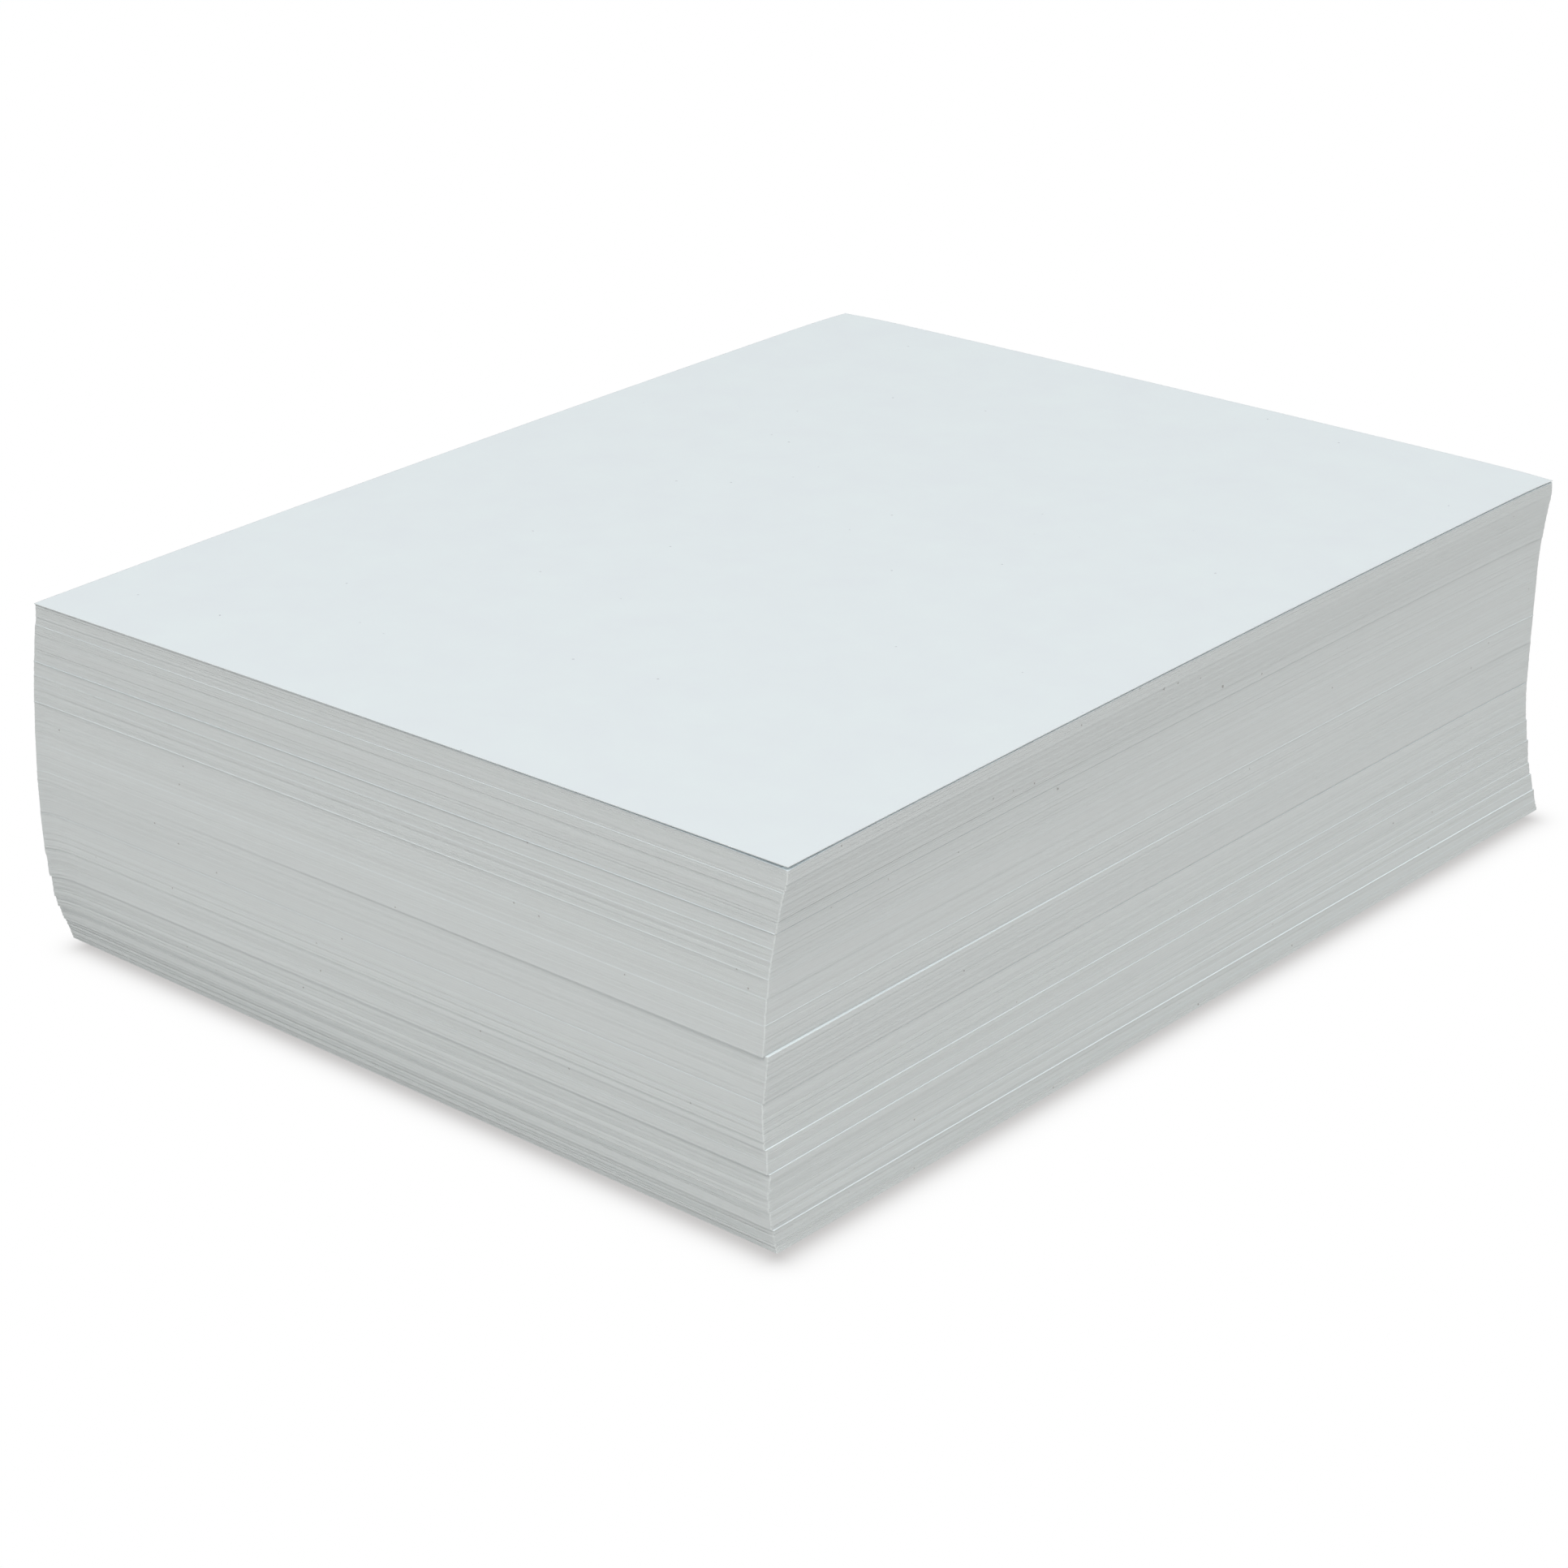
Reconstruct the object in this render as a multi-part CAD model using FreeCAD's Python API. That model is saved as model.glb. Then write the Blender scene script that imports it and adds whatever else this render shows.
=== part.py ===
import FreeCAD, Part
import math
import os
import random

# A pack of loose watercolour paper: five hundred letter-size sheets, stacked flat on a table
# with nothing round them. The pack has been knocked square by hand, so its sheets lie in
# lifts: groups that slid and turned together, with a small ledge where two lifts meet. Inside
# a lift they lie in pinches, a few sheets that moved as one.
# Lengths are in millimetres and angles in degrees. X runs along the short side of a sheet,
# Y along the long side and Z up. The origin is under the middle of the pack, on the table.

# The sheet. The paper came from two cuts, and the sheets of the lower one are a little wider.
# The right-hand edges of the two cuts line up.
SHEET_WIDTH = 215.9
LOWER_CUT_WIDTH = 216.6
SHEET_LENGTH = 279.4
SHEET_THICKNESS = 0.171

STRAY_SEED = 11

# The spine is the line that the middles of the sheets follow. The pack has slumped towards
# the front and swings back under at its foot, and it twists a little all the way up. Each
# row is a share of the pack's height, how far the sheets there have slipped along X and Y
# from the bottom sheet, and how far they have turned.
SPINE = [
    (0.00, 0.00, 0.00, 0.04),
    (0.04, -0.25, -0.80, 0.11),
    (0.08, 0.10, -1.95, 0.21),
    (0.14, -0.05, -2.95, 0.36),
    (0.24, -0.10, -3.40, 0.68),
    (0.36, -1.05, -3.05, 0.70),
    (0.53, -0.10, -3.70, 1.00),
    (0.70, 0.15, -3.05, 1.17),
    (0.83, 0.65, -2.45, 1.39),
    (0.93, 1.90, -2.35, 1.53),
    (0.97, 2.25, -2.15, 1.59),
    (1.00, 2.10, -1.90, 1.66),
]

# The lifts, from the table up. Each row is a name, the number of sheets, how far the lift
# has slid off the spine along X and Y and how far it has turned off it, the most sheets in
# one of its pinches, and how far its pinches stray: along Y, and at the near corner as they
# fan about the back left corner, where the pack was knocked against a stop. A row of one
# sheet is a stray that stands proud or short between two lifts.
LOWER_CUT_LIFTS = [
    ("lift_01", 16, 0.00, 0.00, 0.00, 4, 0.08, 0.12),
    ("lift_02", 18, -0.05, -0.01, 0.01, 5, 0.05, 0.04),
    ("stray_sheet_1", 1, 0.06, -0.08, 0.01, 1, 0.00, 0.00),
    ("lift_03", 13, -0.33, -0.16, 0.01, 4, 0.03, 0.08),
    ("lift_04", 12, -0.33, -0.09, 0.02, 4, 0.03, 0.12),
    ("lift_05", 18, -0.47, -0.39, 0.03, 5, 0.04, 0.09),
    ("lift_06", 34, -0.53, -0.60, 0.05, 5, 0.05, 0.07),
    ("stray_sheet_2", 1, -0.48, -0.79, 0.02, 1, 0.00, 0.00),
    ("lift_07", 15, -0.66, -1.17, -0.02, 4, 0.03, 0.04),
    ("lift_08", 15, -0.72, -1.17, -0.02, 4, 0.01, 0.10),
    ("stray_sheet_3", 1, -0.64, -1.30, -0.04, 1, 0.00, 0.00),
    ("lift_09", 26, -0.79, -1.44, -0.07, 5, 0.05, 0.11),
    ("lift_10", 30, -0.76, -1.46, -0.06, 5, 0.00, 0.08),
    ("stray_sheet_4", 1, -0.89, -1.54, -0.05, 1, 0.00, 0.00),
    ("lift_11", 36, -0.71, -1.43, -0.04, 6, 0.00, 0.07),
    ("lift_12", 27, -0.79, -1.43, -0.05, 6, 0.00, 0.06),
]
UPPER_CUT_LIFTS = [
    ("lift_13", 39, -1.01, -1.77, -0.28, 6, 0.01, 0.05),
    ("stray_sheet_5", 1, -0.92, -1.73, -0.29, 1, 0.00, 0.00),
    ("lift_14", 32, -1.06, -1.74, -0.29, 6, 0.01, 0.05),
    ("lift_15", 23, -1.01, -1.73, -0.27, 5, 0.01, 0.06),
    ("stray_sheet_6", 1, -1.01, -1.87, -0.27, 1, 0.00, 0.00),
    ("lift_16", 22, -1.01, -1.78, -0.27, 4, 0.05, 0.07),
    ("lift_17", 15, -0.98, -1.76, -0.27, 4, 0.03, 0.07),
    ("lift_18", 19, -0.96, -1.71, -0.27, 4, 0.05, 0.04),
    ("stray_sheet_7", 1, -1.03, -1.86, -0.28, 1, 0.00, 0.00),
    ("lift_19", 31, -0.87, -1.72, -0.29, 6, 0.03, 0.09),
    ("lift_20", 21, -0.86, -1.73, -0.29, 4, 0.03, 0.06),
    ("stray_sheet_8", 1, -0.85, -1.76, -0.29, 1, 0.00, 0.00),
    ("lift_21", 11, -0.83, -1.62, -0.28, 4, 0.04, 0.09),
    ("lift_22", 18, -0.68, -1.75, -0.26, 5, 0.04, 0.06),
    ("top_sheet", 1, -0.52, -2.08, -0.25, 1, 0.00, 0.00),
]

SHEETS_IN_PACK = sum(lift[1] for lift in LOWER_CUT_LIFTS + UPPER_CUT_LIFTS)
UP = FreeCAD.Vector(0, 0, 1)


def spine_curve():
    """A smooth curve through the spine's rows, whose parameter is the share of the height.

    The curve's X and Y are the slips, and its Z is the turn.
    """
    curve = Part.BSplineCurve()
    curve.interpolate(
        Points=[FreeCAD.Vector(slip_x, slip_y, turn) for share, slip_x, slip_y, turn in SPINE],
        Parameters=[share for share, slip_x, slip_y, turn in SPINE],
    )
    return curve


def pinch_solid(lowest_sheet, sheets, cut_width, slip, turn, fan_turn):
    """A few sheets as one block at their height, slipped, fanned and then turned."""
    left = slip.x + SHEET_WIDTH / 2 - cut_width
    front = slip.y - SHEET_LENGTH / 2
    corner = FreeCAD.Vector(left, front, lowest_sheet * SHEET_THICKNESS)
    pinch = Part.makeBox(cut_width, SHEET_LENGTH, sheets * SHEET_THICKNESS, corner)
    pinch.rotate(FreeCAD.Vector(left, front + SHEET_LENGTH, 0), UP, fan_turn)
    pinch.rotate(FreeCAD.Vector(0, 0, 0), UP, turn)
    return pinch


def lift_solid(first_sheet, lift, cut_width, spine, luck):
    """One lift: its pinches lie on each other, each at its own slip and turn."""
    sheets, off_x, off_y, off_turn, most_in_pinch, stray, fan = lift[1:]
    diagonal = math.hypot(cut_width, SHEET_LENGTH)
    pinches = []
    stacked = 0
    while stacked < sheets:
        in_pinch = min(luck.randint(1, most_in_pinch), sheets - stacked)
        lowest = first_sheet + stacked
        middle = spine.value((lowest + in_pinch / 2) / SHEETS_IN_PACK)
        slip = FreeCAD.Vector(middle.x + off_x, middle.y + off_y + luck.uniform(-stray, stray), 0)
        fan_turn = math.degrees(luck.uniform(-fan, fan) / diagonal)
        turn = middle.z + off_turn
        pinches.append(pinch_solid(lowest, in_pinch, cut_width, slip, turn, fan_turn))
        stacked += in_pinch
    if len(pinches) == 1:
        return pinches[0]
    return pinches[0].multiFuse(pinches[1:]).removeSplitter().Solids[0]


def build_pack():
    """Every lift by its name, with the middle of the whole pack over the origin."""
    luck = random.Random(STRAY_SEED)
    spine = spine_curve()
    pack = {}
    first_sheet = 0
    for cut_width, lifts in ((LOWER_CUT_WIDTH, LOWER_CUT_LIFTS), (SHEET_WIDTH, UPPER_CUT_LIFTS)):
        for lift in lifts:
            name, sheets = lift[:2]
            pack[name] = lift_solid(first_sheet, lift, cut_width, spine, luck)
            first_sheet += sheets
    box = Part.makeCompound(list(pack.values())).BoundBox
    for solid in pack.values():
        solid.translate(FreeCAD.Vector(-box.Center.x, -box.Center.y, -box.ZMin))
    return pack


def write_steps(pack):
    """One STEP file for each lift."""
    os.makedirs("parts", exist_ok=True)
    for name, solid in pack.items():
        solid.exportStep(os.path.join("parts", name + ".step"))


write_steps(build_pack())
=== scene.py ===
import math

import bpy
import numpy as np
from mathutils import Matrix, Vector


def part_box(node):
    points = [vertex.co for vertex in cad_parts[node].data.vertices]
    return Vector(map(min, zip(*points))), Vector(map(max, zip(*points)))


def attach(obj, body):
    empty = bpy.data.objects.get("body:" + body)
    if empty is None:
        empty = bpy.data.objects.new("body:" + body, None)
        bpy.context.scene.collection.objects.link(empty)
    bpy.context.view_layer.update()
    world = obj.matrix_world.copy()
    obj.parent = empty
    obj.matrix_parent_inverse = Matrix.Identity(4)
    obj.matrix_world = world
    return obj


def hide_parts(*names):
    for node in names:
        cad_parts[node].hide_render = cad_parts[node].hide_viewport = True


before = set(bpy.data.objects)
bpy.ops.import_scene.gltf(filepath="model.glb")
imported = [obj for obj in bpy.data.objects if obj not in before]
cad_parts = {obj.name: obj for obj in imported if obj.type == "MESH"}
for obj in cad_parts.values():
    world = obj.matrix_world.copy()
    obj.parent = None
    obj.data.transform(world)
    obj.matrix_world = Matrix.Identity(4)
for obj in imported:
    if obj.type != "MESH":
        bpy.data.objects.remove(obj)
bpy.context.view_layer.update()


# ---------------------------------------------------------------------------------------
# The lifts of sheets. Loose sheets of wood-pulp watercolour paper, guillotined to nearly one
# size and knocked square by hand. A lift is a group of sheets that slid together, so it is
# one closed shell that steps in and out with each of its sheets.

MM = 0.001
TOP_SHEET = "top_sheet"
BOTTOM_LIFT = "lift_01"
LIFT_NAMES = sorted(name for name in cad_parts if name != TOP_SHEET)
LUCK_SEED = 5

top_low, top_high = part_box(TOP_SHEET)
sheet_thickness = top_high.z - top_low.z
pack_height = top_high.z


def sheet_corners(node_name):
    """The four corners of each sheet in a CAD lift, lowest sheet first, and the lift's foot.

    The lift's mesh is cut at the mid-height of each sheet: every mesh edge that crosses that
    height gives one point, and the furthest points towards the four diagonals are corners.
    """
    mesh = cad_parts[node_name].data
    points = np.empty(len(mesh.vertices) * 3)
    mesh.vertices.foreach_get("co", points)
    points = points.reshape(-1, 3)
    edges = np.empty(len(mesh.edges) * 2, dtype=int)
    mesh.edges.foreach_get("vertices", edges)
    start, end = points[edges.reshape(-1, 2)].swapaxes(0, 1)
    foot, head = points[:, 2].min(), points[:, 2].max()
    sheets = round((head - foot) / sheet_thickness)
    diagonals = np.array([(-1, -1), (1, -1), (1, 1), (-1, 1)])
    corners = []
    for height in foot + (np.arange(sheets) + 0.5) * sheet_thickness:
        crossing = (start[:, 2] - height) * (end[:, 2] - height) < 0
        low, high = start[crossing], end[crossing]
        share = ((height - low[:, 2]) / (high[:, 2] - low[:, 2]))[:, None]
        cut = (low + share * (high - low))[:, :2]
        corners.append(cut[np.argmax(cut @ diagonals.T, axis=0)])
    return np.array(corners), foot


top_corners = sheet_corners(TOP_SHEET)[0][0]
sheet_width = float(np.linalg.norm(top_corners[1] - top_corners[0]))
sheet_length = float(np.linalg.norm(top_corners[2] - top_corners[1]))


def spread(corners, across, along):
    """Points on sheets: four corners blended by how far across and along each point lies.

    Both run from -1 to 1, across from the left edge to the right and along from the front
    edge to the back.
    """
    right, back = (1 + across) / 2, (1 + along) / 2
    weights = np.stack(
        [(1 - right) * (1 - back), right * (1 - back), right * back, (1 - right) * back])
    return np.einsum("scd,cp->spd", corners, weights)


def inset(distance):
    """How far across the right edge lies, and how far along the back edge, once drawn in."""
    return 1 - 2 * distance / sheet_width, 1 - 2 * distance / sheet_length


# How the pack settles. It bulges a little in the middle of each side, because the corners
# of the sheets were pressed hard when they were cut, and it does so less near the table.
SIDE_BULGE_LONG = 0.75 * MM
SIDE_BULGE_SHORT = 0.40 * MM
BULGE_FADES_OVER = 15 * MM

# The back corners hang a little.
BACK_CORNER_DROP = 0.4 * MM
BACK_CORNER_REACH = 8 * MM

# The front left corner was knocked down. At some heights over the table, how far it hangs
# and how far in the bend reaches.
KNOCKED_HEIGHTS = np.array([0, 3.5, 10, 21, 43, 70]) * MM
KNOCKED_DROPS = np.array([0, 0, 0.75, 1.5, 0.7, 0]) * MM
KNOCKED_REACHES = np.array([4.5, 4.5, 4.5, 5, 2, 2]) * MM

CORNER_BEND_POWER = 1.4     # how sharply a corner's bend dies out past its reach


def corner_bend(across, along, side_x, side_y, reach):
    """How much of a corner's hang a point takes, from 1 at the corner to nothing far in.

    It is a falling exponential of a power of the distance from the corner, in reaches.
    """
    away = np.hypot((across - side_x) * sheet_width / 2, (along - side_y) * sheet_length / 2)
    return np.exp(-((away / reach) ** CORNER_BEND_POWER))


def settled(across, along, height):
    """The height of a point once the pack has settled.

    The bulge is a parabola along each side. Up from the table it grows as one minus a falling
    exponential of the height, and so does the hang of the back corners.
    """
    rise = 1 - np.exp(-height / BULGE_FADES_OVER)
    bulge = SIDE_BULGE_LONG * (1 - along**2) + SIDE_BULGE_SHORT * (1 - across**2)
    hang = 0
    for side_x in (-1, 1):
        bend = corner_bend(across, along, side_x, 1, BACK_CORNER_REACH)
        hang = hang + rise * BACK_CORNER_DROP * bend
    reach = np.interp(height, KNOCKED_HEIGHTS, KNOCKED_REACHES)
    drop = np.interp(height, KNOCKED_HEIGHTS, KNOCKED_DROPS)
    hang = hang + drop * corner_bend(across, along, -1, -1, reach)
    return height + rise * bulge - hang


# The topmost sheets are pressed down along their front and right edges, more so towards the
# corner between them, and the top sheet alone springs clear of them.
PRESSED_FRONT = 0.45 * MM
PRESSED_RIGHT = 0.42 * MM
PRESSED_AT_LEFT = 0.2       # the share of the front's press that is left at its left corner
PRESS_REACH = 12 * MM
PRESS_POWER = 8             # how sharply it dies out down the pack


def pressed(across, along, height):
    """How far a point of a lift is pressed down under the top sheet.

    It falls off exponentially in from the front and the right edge, and with a high power of
    the height. Along the front it grows evenly from the left corner to the right.
    """
    grown = PRESSED_AT_LEFT + (1 - PRESSED_AT_LEFT) * (1 + across) / 2
    front = np.exp(-(1 + along) * sheet_length / 2 / PRESS_REACH) * grown
    right = np.exp(-(1 - across) * sheet_width / 2 / PRESS_REACH)
    return (PRESSED_FRONT * front + PRESSED_RIGHT * right) * (height / pack_height) ** PRESS_POWER


# Where the outline of a sheet has its points, from -1 at one edge to 1 at the other. They
# crowd towards the corners, where a sheet bends most. The very corner is blunt.
WIDTH_STATIONS = [-0.985, -0.96, -0.92, -0.8, -0.5, -0.15, 0.2, 0.55, 0.85, 0.97]
LENGTH_STATIONS = [
    -0.985, -0.96, -0.9, -0.7, -0.45, -0.2, 0.05, 0.3, 0.55, 0.75, 0.88, 0.95, 0.985]
CORNER_BLUNT = 0.2 * MM


def outline_stations():
    """The points of a sheet's outline, front, right, back and left, as (across, along)."""
    end_x, end_y = inset(CORNER_BLUNT)
    width = np.array([-end_x] + WIDTH_STATIONS + [end_x])
    length = np.array([-end_y] + LENGTH_STATIONS + [end_y])
    front = np.stack([width, np.full(len(width), -1.0)])
    right = np.stack([np.full(len(length), 1.0), length])
    return np.concatenate([front, right, -front, -right], axis=1)


# Between the edges of two sheets there is a hairline of air.
HAIRLINE_SHARE = 0.045      # of a sheet's thickness, the usual air between two edges
HAIRLINE_SPREAD = 1.2       # how unlike each other the hairlines are
HAIRLINE_THIN = 0.2         # along one hairline, the least of its usual air
HAIRLINE_THICK = 1.8        # and the most
HAIRLINE_WIDEST = 0.45      # of a sheet's thickness, its cap before the pack's looseness
HAIRLINE_DEPTH = 0.18 * MM

# The pack lies tight in the middle of its height, and all the way up on the right. At some
# shares of the height, how open the hairlines are. No more than twice the cap is left open,
# so that no sheet thins to nothing.
LOOSE_SHARES = [0, 0.30, 0.40, 0.62, 0.74, 1]
LOOSENESS = [2.0, 1.3, 0.35, 0.35, 1.1, 1.5]
LOOSENESS_ON_RIGHT = [0.6, 0.8, 0.5, 0.35, 0.45, 0.7]
RIGHT_SIDE_FROM = 0.99      # how far across a point has to lie to be on the right


def hairline_airs(across, foot, count, luck):
    """The air under each sheet of a lift and over its last, at each point of the outline.

    It is a log-normal number for each hairline, times an even one for each point, capped,
    and then times how loose the pack is at that height.
    """
    airs = HAIRLINE_SHARE * np.exp(HAIRLINE_SPREAD * luck.normal(0, 1, (count + 1, 1)))
    airs = airs * luck.uniform(HAIRLINE_THIN, HAIRLINE_THICK, (count + 1, len(across)))
    share = ((foot + np.arange(count + 1) * sheet_thickness) / pack_height)[:, None]
    loose = np.where(
        across > RIGHT_SIDE_FROM,
        np.interp(share, LOOSE_SHARES, LOOSENESS_ON_RIGHT),
        np.interp(share, LOOSE_SHARES, LOOSENESS),
    )
    return np.minimum(airs, HAIRLINE_WIDEST) * loose * sheet_thickness


RUFFLE = 0.007 * MM         # how far the corners of single sheets stray within a lift
CAP_STRIP = 4 * MM          # how far in the bend of the sheets is followed at a lift's faces


def shell_faces(rings, around):
    """The faces of a closed shell: quads from ring to ring, then its foot and its head."""
    step = np.arange(around)
    after = np.roll(step, -1)
    base = np.arange(rings - 1)[:, None] * around
    quads = np.stack(
        [base + step, base + after, base + after + around, base + step + around], axis=-1)
    head = (rings - 1) * around + step
    return quads.reshape(-1, 4).tolist() + [step[::-1].tolist(), head.tolist()]


def set_tones(mesh, tones):
    """Gives each point of a mesh the tone of its sheet, which the edge's material reads."""
    attribute = mesh.attributes.new("sheet_tone", "FLOAT", "POINT")
    attribute.data.foreach_set("value", tones.astype(np.float32))


def lift_mesh(name, corners, foot, luck):
    """A lift's shell: rings of points carried up its sides, and a cap at its foot and head.

    Each sheet gives two rings, its lower and upper edge. Between two sheets one more ring
    lies a little way in, which makes the hairline. The caps are a strip round the edge that
    bends as the sheets do, and one flat face inside it.
    """
    across, along = outline_stations()
    around, count = len(across), len(corners)
    corners = corners + luck.normal(0, RUFFLE, corners.shape)
    airs = hairline_airs(across, foot, count, luck)
    feet = foot + np.arange(count)[:, None] * sheet_thickness
    heads = feet + sheet_thickness - airs[1:] / 2
    feet = feet + airs[:-1] / 2

    def rings_at(of_corners, distance, heights):
        """Rings at given heights, one for each set of corners, drawn in by a distance."""
        x_share, y_share = inset(distance)
        u, v = across * x_share, along * y_share
        z = settled(u, v, heights) - pressed(u, v, heights)
        return np.dstack([spread(of_corners, u, v), z])

    low = rings_at(corners, 0, feet)
    high = rings_at(corners, 0, heads)
    between = (corners + np.roll(corners, -1, axis=0)) / 2
    groove = rings_at(between, HAIRLINE_DEPTH, heads + airs[1:] / 2)
    sides = np.stack([low, high, groove], axis=1).reshape(-1, around, 3)[:-1]
    foot_strip = rings_at(corners[:1], CAP_STRIP, feet[:1])
    head_strip = rings_at(corners[-1:], CAP_STRIP, heads[-1:])
    rings = np.concatenate([foot_strip, sides, head_strip])
    mesh = bpy.data.meshes.new(name)
    mesh.from_pydata(rings.reshape(-1, 3), [], shell_faces(len(rings), around))
    is_cut_edge = np.zeros((len(rings) - 1, around), dtype=np.int32)
    is_cut_edge[1:-1] = 1
    mesh.polygons.foreach_set("material_index", np.append(is_cut_edge.ravel(), [0, 0]))
    tones = luck.normal(0, 1, count)
    by_ring = np.concatenate([tones[:1], np.repeat(tones, 3)[:-1], tones[-1:]])
    set_tones(mesh, np.repeat(by_ring, around))
    return mesh


def linear(hex_colour):
    """An sRGB hex colour as linear red, green, blue and alpha."""
    parts = [int(hex_colour[i:i + 2], 16) / 255 for i in (1, 3, 5)]
    return [p / 12.92 if p <= 0.04045 else ((p + 0.055) / 1.055) ** 2.4 for p in parts] + [1.0]


def add_node(tree, kind, sockets=None, **settings):
    """Adds one node, sets its settings, and sets or links each socket that is given."""
    made = tree.nodes.new(kind)
    for setting, value in settings.items():
        setattr(made, setting, value)
    for socket, value in (sockets or {}).items():
        if isinstance(value, bpy.types.NodeSocket):
            tree.links.new(value, made.inputs[socket])
        else:
            made.inputs[socket].default_value = value
    return made


def number_math(tree, operation, first, second):
    """One sum of two numbers, each a number or a socket."""
    return add_node(tree, "ShaderNodeMath", {0: first, 1: second}, operation=operation).outputs[0]


def vector_math(tree, operation, *terms):
    """One sum of vectors, each a vector or a socket. A length comes out as a number."""
    made = add_node(tree, "ShaderNodeVectorMath", dict(enumerate(terms)), operation=operation)
    return made.outputs["Value" if operation == "LENGTH" else "Vector"]


def part_way(tree, value, start, end):
    """How far a value has gone from a start to an end, kept between 0 and 1."""
    return add_node(tree, "ShaderNodeMapRange", {
        "Value": value, "From Min": start, "From Max": end}).outputs["Result"]


def mixed_colour(tree, share, first, second):
    """Two colours mixed by the share of the second, each a colour or a socket."""
    return add_node(tree, "ShaderNodeMix", {
        "Factor": share, "A": first, "B": second}, data_type="RGBA").outputs[2]


def noise(tree, place, size, detail, roughness=0.5):
    """Soft noise with patches of about a size."""
    return add_node(tree, "ShaderNodeTexNoise", {
        "Vector": place, "Scale": 1 / size, "Detail": detail, "Roughness": roughness})


def new_material(name):
    """An empty node material, its tree, and the place of each point on the piece."""
    material = bpy.data.materials.new(name)
    material.use_nodes = True
    tree = material.node_tree
    tree.nodes.clear()
    return material, tree, add_node(tree, "ShaderNodeTexCoord").outputs["Object"]


FLECK_STRAY = 1.5           # how far a fleck's outline wanders, in sizes of the fleck
FLECK_CORE = 0.6            # the share of its size that has its full colour


def flecked(tree, place, colour, fleck_colour, size, spacing, amount=1.0):
    """A colour with small dark flecks: ragged spots round points scattered at random in space.

    The amount is how strongly the flecks show, a number or a socket that varies with place.
    """
    ragged = noise(tree, place, size, detail=1.0)
    strayed = add_node(tree, "ShaderNodeVectorMath", {
        0: ragged.outputs["Color"], "Scale": FLECK_STRAY * size}, operation="SCALE")
    points = add_node(tree, "ShaderNodeTexVoronoi", {
        "Vector": vector_math(tree, "ADD", place, strayed.outputs["Vector"]),
        "Scale": 1 / spacing})
    edge = size / spacing
    inside = part_way(tree, points.outputs["Distance"], edge, FLECK_CORE * edge)
    shown = number_math(tree, "MULTIPLY", inside, amount)
    return mixed_colour(tree, shown, colour, linear(fleck_colour))


def paper_surface(tree, colour, grain, strength, depth, roughness, gloss):
    """A matte surface as the material's output, with its grain raised by up to a depth."""
    bump = add_node(tree, "ShaderNodeBump", {
        "Height": grain.outputs["Fac"], "Strength": strength, "Distance": depth})
    shader = add_node(tree, "ShaderNodeBsdfPrincipled", {
        "Base Color": colour, "Roughness": roughness, "Specular IOR Level": gloss,
        "Normal": bump.outputs["Normal"]})
    add_node(tree, "ShaderNodeOutputMaterial", {"Surface": shader.outputs["BSDF"]})


# Uncoated wood-pulp watercolour paper, bleached to a cool white and pressed on a fine felt:
# matte all over, with a tooth about a millimetre across and a cloudy look-through.
FACE_COLOUR = "#E4EDEE"
FACE_CLOUD_COLOUR = "#E0E6EA"
FACE_CLOUD_SIZE = 14.0 * MM
FACE_FLECK_COLOUR = "#C4C9CE"
FACE_FLECK_SIZE = 0.32 * MM
FACE_FLECK_SPACING = 9.0 * MM
TOOTH_SIZE = 0.9 * MM
TOOTH_DEPTH = 0.03 * MM


def felt_face_paper():
    """The face of a sheet: soft clouds of pulp, a fine felt tooth and a few flecks."""
    material, tree, place = new_material("felt_pressed_paper_face")
    clouds = noise(tree, place, FACE_CLOUD_SIZE, detail=4.0, roughness=0.6)
    colour = mixed_colour(
        tree, clouds.outputs["Fac"], linear(FACE_COLOUR), linear(FACE_CLOUD_COLOUR))
    colour = flecked(
        tree, place, colour, FACE_FLECK_COLOUR, FACE_FLECK_SIZE, FACE_FLECK_SPACING)
    tooth = noise(tree, place, TOOTH_SIZE, detail=5.0, roughness=0.65)
    paper_surface(
        tree, colour, tooth, strength=0.25, depth=TOOTH_DEPTH, roughness=0.88, gloss=0.3)
    return material


# The guillotined edge of the same paper: cut fibre ends, rougher and a little greyer than
# the face, each sheet with a shade of its own.
EDGE_LIGHT = "#CFD3D2"
EDGE_DARK = "#CACDCC"
TONE_REACH = 2.0            # the tone, up or down, at which an edge is lightest or darkest
EDGE_FLECK_COLOUR = "#A19F9C"
EDGE_FLECK_SIZE = 0.26 * MM
EDGE_FLECK_SPACING = 6.5 * MM
FIBRE_SIZE = 0.35 * MM
FIBRE_DEPTH = 0.04 * MM

# Lint has caught on the right side under the top: where its patch has its middle, how far it
# reaches along the side, and how many times less it reaches up and down.
LINT_COLOUR = "#A09F9C"
LINT_SIZE = 0.42 * MM
LINT_SPACING = 5.0 * MM
LINT_MIDDLE = (110.0 * MM, -22.0 * MM, 78.0 * MM)
LINT_REACH = 62.0 * MM
LINT_FLATNESS = 6.0
LINT_FULL = 0.9             # the share of its reach within which all of it shows


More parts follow.
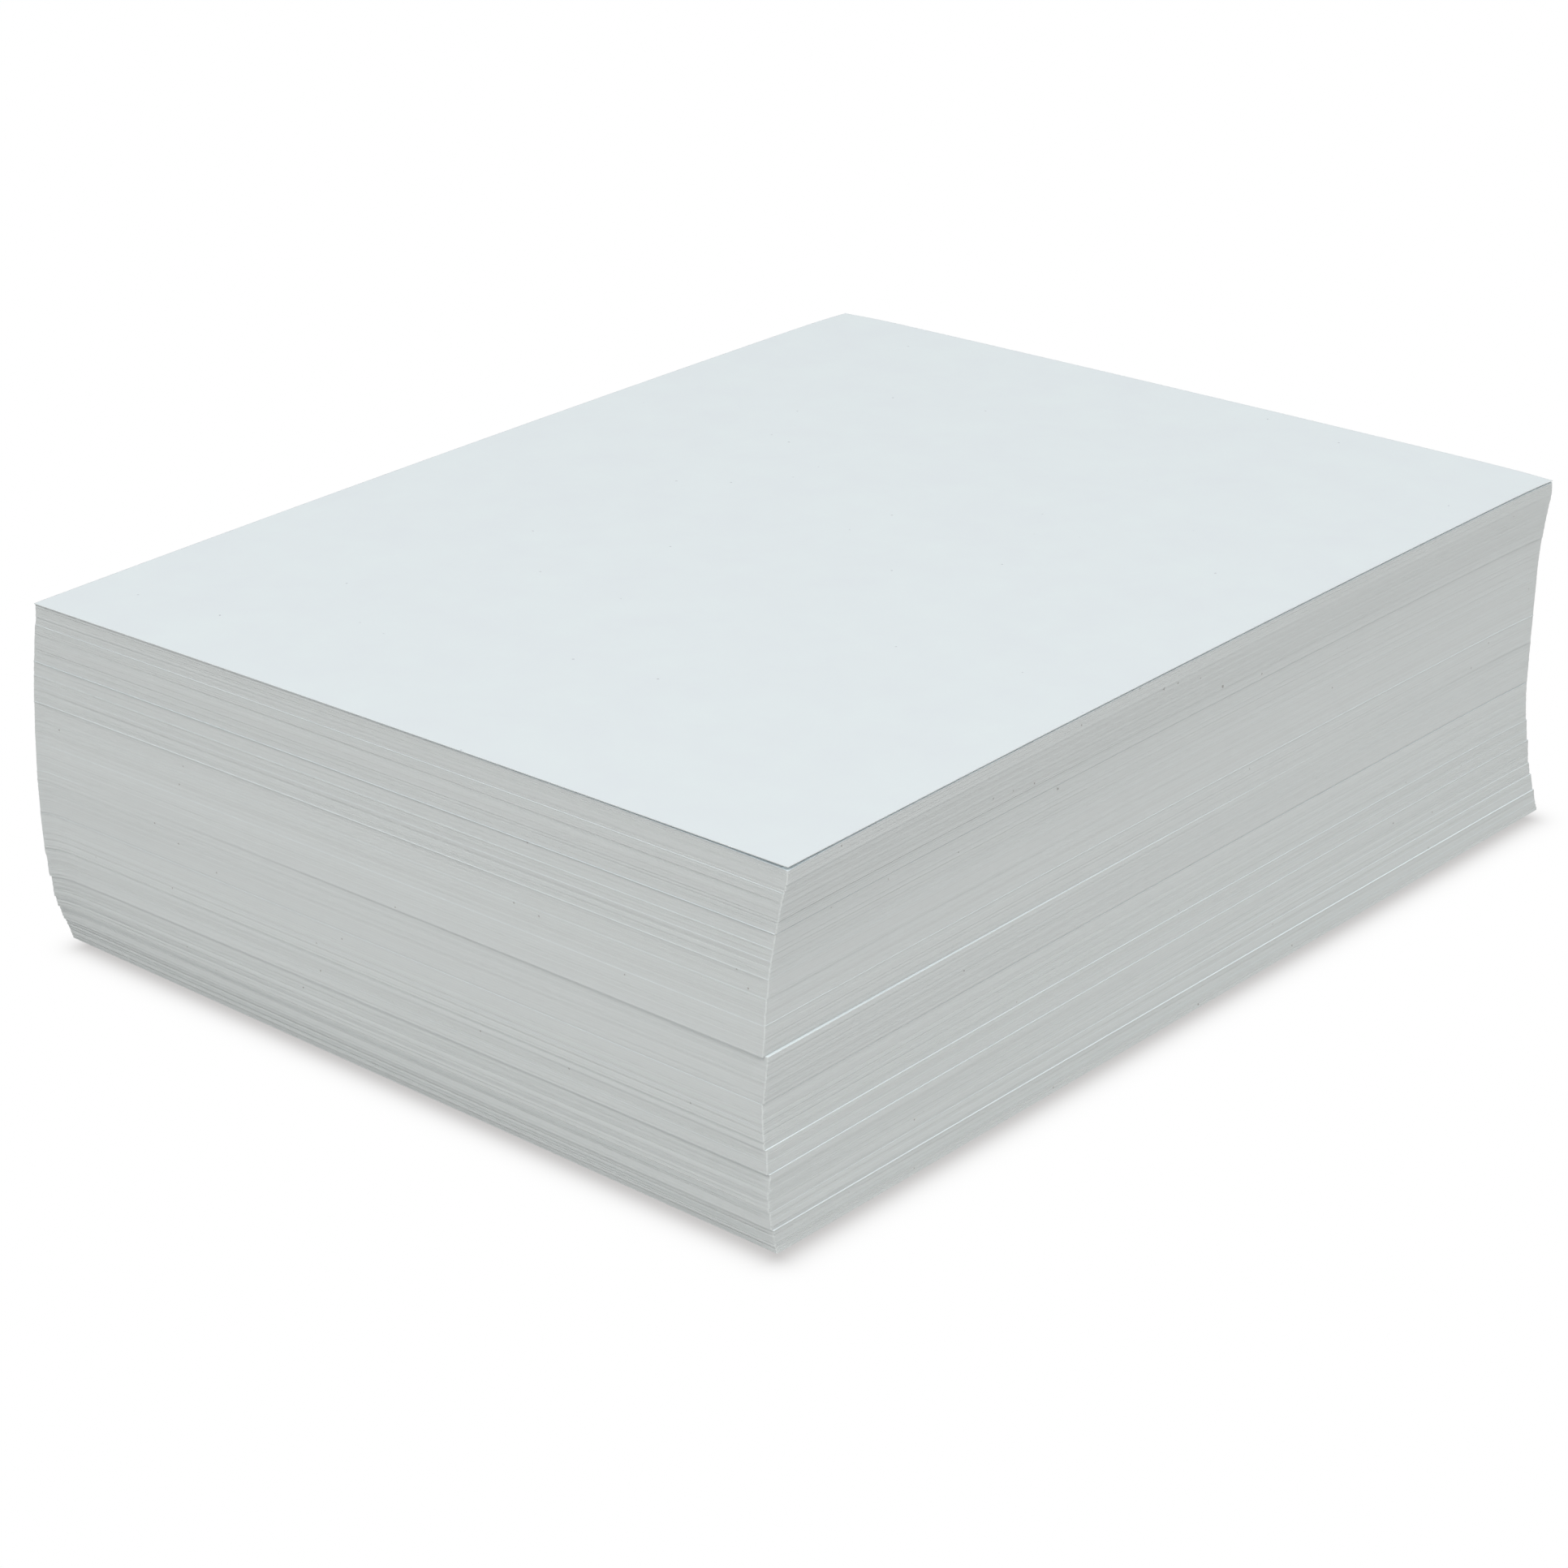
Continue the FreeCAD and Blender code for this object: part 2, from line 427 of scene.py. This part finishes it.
def cut_edge_paper():
    """The cut edge of the sheets: a tone for each sheet, and fibres torn by the blade."""
    material, tree, place = new_material("guillotined_paper_edge")
    tone = add_node(tree, "ShaderNodeAttribute", attribute_name="sheet_tone")
    shade = part_way(tree, tone.outputs["Fac"], -TONE_REACH, TONE_REACH)
    colour = mixed_colour(tree, shade, linear(EDGE_DARK), linear(EDGE_LIGHT))
    colour = flecked(
        tree, place, colour, EDGE_FLECK_COLOUR, EDGE_FLECK_SIZE, EDGE_FLECK_SPACING)
    from_middle = vector_math(tree, "SUBTRACT", place, LINT_MIDDLE)
    flattened = vector_math(tree, "MULTIPLY", from_middle, (1.0, 1.0, LINT_FLATNESS))
    away = vector_math(tree, "LENGTH", flattened)
    in_patch = part_way(tree, away, LINT_REACH, LINT_FULL * LINT_REACH)
    colour = flecked(tree, place, colour, LINT_COLOUR, LINT_SIZE, LINT_SPACING, in_patch)
    fibres = noise(tree, place, FIBRE_SIZE, detail=3.0)
    paper_surface(
        tree, colour, fibres, strength=0.3, depth=FIBRE_DEPTH, roughness=0.95, gloss=0.2)
    return material


face_paper = felt_face_paper()
edge_paper = cut_edge_paper()


def new_object(name, data):
    """A new object in the scene, at the origin."""
    made = bpy.data.objects.new(name, data)
    bpy.context.scene.collection.objects.link(made)
    return made


def place_piece(mesh, node_name):
    """A piece of paper in the place of its CAD node, with its two finishes."""
    piece = new_object(mesh.name, mesh)
    mesh.materials.append(face_paper)
    mesh.materials.append(edge_paper)
    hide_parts(node_name)
    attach(piece, "root")
    return piece


# At the front left corner the sheets ease each other along the front edge, so that the steps
# between the lifts don't show in the pack's outline there. A corner moves to the mean of its
# neighbours, which count for less the further they lie, up to this many sheets away.
SHEETS_EASED = 12

lifts = sorted([sheet_corners(name) + (name,) for name in LIFT_NAMES], key=lambda lift: lift[1])
every_corner = np.concatenate([corners for corners, foot, name in lifts])
window = np.hanning(2 * SHEETS_EASED + 3)[1:-1]     # its two ends are zero, and left out
padded = np.pad(every_corner[:, 0, 0], SHEETS_EASED, mode="edge")
every_corner[:, 0, 0] = np.convolve(padded, window / window.sum(), mode="valid")

luck = np.random.default_rng(LUCK_SEED)
first = 0
for corners, foot, name in lifts:
    eased = every_corner[first:first + len(corners)]
    first += len(corners)
    place_piece(lift_mesh(name + "_sheets", eased, foot, luck), name)


# ---------------------------------------------------------------------------------------
# The top sheet. The same sheet as the rest, seen whole. It lies on the bulge of the pack,
# so it is a thin closed shell that curves over it.

TOP_CELLS_ACROSS = 48
TOP_CELLS_ALONG = 64
TOP_SHEET_TONE = 1.0


def crowded(cells):
    """Where a row of cells from -1 to 1 has its ends: a sine, so that they crowd outwards."""
    return np.sin(np.linspace(-1, 1, cells + 1) * math.pi / 2)


def top_sheet_mesh():
    """Two grids, the face and the back of the sheet, joined by a strip round the edge."""
    across, along = np.meshgrid(crowded(TOP_CELLS_ACROSS), crowded(TOP_CELLS_ALONG))
    across, along = across.ravel(), along.ravel()
    plan = spread(top_corners[None], across, along)[0]
    low = settled(across, along, np.full(len(across), top_low.z))
    points = np.concatenate([
        np.column_stack([plan, low]),
        np.column_stack([plan, low + sheet_thickness]),
    ])
    wide, long = TOP_CELLS_ACROSS + 1, TOP_CELLS_ALONG + 1
    grid = np.arange(wide * long).reshape(long, wide)
    cells = np.stack([grid[:-1, :-1], grid[:-1, 1:], grid[1:, 1:], grid[1:, :-1]], axis=-1)
    cells = cells.reshape(-1, 4)
    ring = np.concatenate([grid[0, :-1], grid[:-1, -1], grid[-1, :0:-1], grid[:0:-1, 0]])
    after = np.roll(ring, -1)
    over = wide * long
    rim = np.stack([ring, after, after + over, ring + over], axis=1)
    faces = np.concatenate([cells + over, cells[:, ::-1], rim])
    mesh = bpy.data.meshes.new("top_sheet_paper")
    mesh.from_pydata(points, [], faces.tolist())
    is_rim = np.arange(len(faces)) >= 2 * len(cells)
    mesh.polygons.foreach_set("material_index", is_rim.astype(np.int32))
    mesh.polygons.foreach_set("use_smooth", ~is_rim)
    set_tones(mesh, np.full(len(points), TOP_SHEET_TONE))
    return mesh


place_piece(top_sheet_mesh(), TOP_SHEET)


# ---------------------------------------------------------------------------------------
# The table, the light and the camera. A white table that shows as pure white but for a soft
# shade round the foot of the pack, two large soft boxes high in front of it, a weaker one low
# behind it, and a camera that looks down on the near corner.

FLOOR_SIZE = 6.0
FLOOR_COLOUR = "#F1F1F1"
WHITE = (1.0, 1.0, 1.0, 1.0)
CONTACT_SHADE = (0.575, 0.565, 0.560, 1.0)
CONTACT_REACH = 4.5 * MM    # how far out from the pack's foot that shade is spread
CONTACT_FALL = 1.72         # how sharply it dies out
SHADE_STOPS_SHORT = 7 * MM  # how far in from the left and back edges of the foot it stops


def seen_plainly(tree):
    """One for camera, glossy and transmission rays, which see plain white, else zero."""
    rays = add_node(tree, "ShaderNodeLightPath").outputs
    either = number_math(tree, "MAXIMUM", rays["Is Camera Ray"], rays["Is Glossy Ray"])
    return number_math(tree, "MAXIMUM", either, rays["Is Transmission Ray"])


def white_table():
    """A matte white table top, shaded round the foot of the pack.

    The camera sees it plain white, darkened by a falling exponential of a power of the
    distance from the bottom sheet, and so do glossy and transmission rays. Diffuse and
    shadow rays see a pale matte surface.
    """
    material, tree, place = new_material("white_table_top")
    foot_corners = sheet_corners(BOTTOM_LIFT)[0][0]
    middle = foot_corners.mean(axis=0)
    reach = np.abs(foot_corners - middle).mean(axis=0) - SHADE_STOPS_SHORT / 2
    middle = middle + np.array([SHADE_STOPS_SHORT, -SHADE_STOPS_SHORT]) / 2
    from_middle = vector_math(tree, "SUBTRACT", place, (middle[0], middle[1], 0))
    folded = vector_math(tree, "ABSOLUTE", from_middle)
    beyond = vector_math(tree, "SUBTRACT", folded, (reach[0], reach[1], 0))
    away = vector_math(tree, "LENGTH", vector_math(tree, "MAXIMUM", beyond, (0, 0, 0)))
    in_reaches = number_math(tree, "DIVIDE", away, CONTACT_REACH)
    faded = number_math(tree, "POWER", in_reaches, CONTACT_FALL)
    shade = number_math(tree, "POWER", math.exp(-1), faded)
    tint = mixed_colour(tree, shade, WHITE, CONTACT_SHADE)
    seen = add_node(tree, "ShaderNodeEmission", {"Color": tint, "Strength": 1.0})
    lit = add_node(tree, "ShaderNodeBsdfDiffuse", {"Color": linear(FLOOR_COLOUR)})
    mix = add_node(tree, "ShaderNodeMixShader", {
        0: seen_plainly(tree), 1: lit.outputs["BSDF"], 2: seen.outputs["Emission"]})
    add_node(tree, "ShaderNodeOutputMaterial", {"Surface": mix.outputs["Shader"]})
    return material


floor_mesh = bpy.data.meshes.new("table_top")
half = FLOOR_SIZE / 2
floor_mesh.from_pydata(
    [(-half, -half, 0), (half, -half, 0), (half, half, 0), (-half, half, 0)], [], [(0, 1, 2, 3)])
floor_mesh.materials.append(white_table())
new_object("table_top", floor_mesh)

AMBIENT = 0.22              # how bright the room is to diffuse rays, where white is 1

world = bpy.data.worlds.new("studio")
bpy.context.scene.world = world
world.use_nodes = True
world.node_tree.nodes.clear()
strength = add_node(world.node_tree, "ShaderNodeMix", {
    "Factor": seen_plainly(world.node_tree), "A": AMBIENT, "B": 1.0}, data_type="FLOAT")
glow = add_node(world.node_tree, "ShaderNodeBackground", {
    "Color": WHITE, "Strength": strength.outputs[0]})
add_node(world.node_tree, "ShaderNodeOutputWorld", {"Surface": glow.outputs["Background"]})

# The square white soft boxes: the name, the place, the side and the power in watts of each.
LAMPS = [
    ("lamp_front", (0.87, -4.92, 6.24), 3.5, 317.0),
    ("lamp_right", (4.92, -0.87, 6.24), 3.5, 296.0),
    ("lamp_back", (-4.8, 4.8, 0.9), 1.6, 60.0),
]
LAMP_AIM = (0, 0, 0.05)


def facing(place, aim):
    """The matrix of a lamp or a camera that stands at a place and looks at an aim."""
    look = (Vector(aim) - Vector(place)).normalized().to_track_quat("-Z", "Y")
    return Matrix.Translation(place) @ look.to_matrix().to_4x4()


for name, place, side, watts in LAMPS:
    light = bpy.data.lights.new(name, "AREA")
    light.shape = "SQUARE"
    light.size = side
    light.energy = watts
    new_object(name, light).matrix_world = facing(place, LAMP_AIM)

CAMERA_PLACE = Vector((548.8, -625.0, 390.6)) * MM
CAMERA_AIM = Vector((-6.4, -5.7, 24.1)) * MM
CAMERA_ROLL = math.radians(-0.536)
SENSOR_WIDTH = 36.0         # this and the lens are in the camera's own millimetres
LENS = 89.2

camera_data = bpy.data.cameras.new("camera")
camera_data.sensor_width = SENSOR_WIDTH
camera_data.lens = LENS
camera = new_object("camera", camera_data)
camera.matrix_world = facing(CAMERA_PLACE, CAMERA_AIM) @ Matrix.Rotation(CAMERA_ROLL, 4, "Z")
bpy.context.scene.camera = camera
bpy.context.scene.view_settings.view_transform = "Standard"
